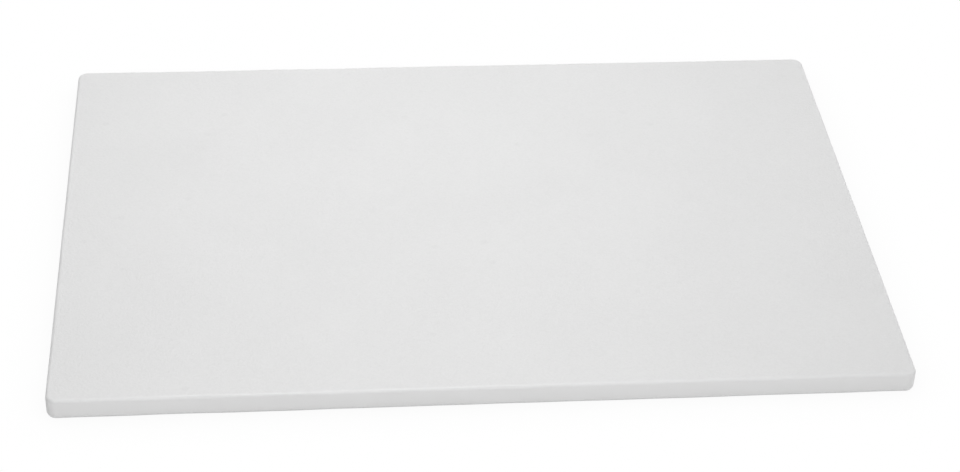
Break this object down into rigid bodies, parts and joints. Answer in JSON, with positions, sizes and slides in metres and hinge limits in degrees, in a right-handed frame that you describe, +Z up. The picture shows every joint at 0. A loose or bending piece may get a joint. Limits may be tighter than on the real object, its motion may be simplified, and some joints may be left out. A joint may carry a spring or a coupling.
{
  "type": "cutting board",
  "caption": "Flat rectangular cutting board of solid white plastic with rounded corners and eased edges, for cutting food on either face.",
  "frame": {"origin": "middle of the lower face, on the surface that the board rests on", "axes": "+X along the board's length, +Y across its depth and away from the user, +Z up through its thickness"},
  "size_m": [0.508, 0.3556, 0.0127],
  "materials": {
    "white_polyethylene": "satin white with a fine embossed grain on both faces and smooth cut edges"
  },
  "bodies": {
    "root": {"board": "white_polyethylene"}
  },
  "joints": []
}
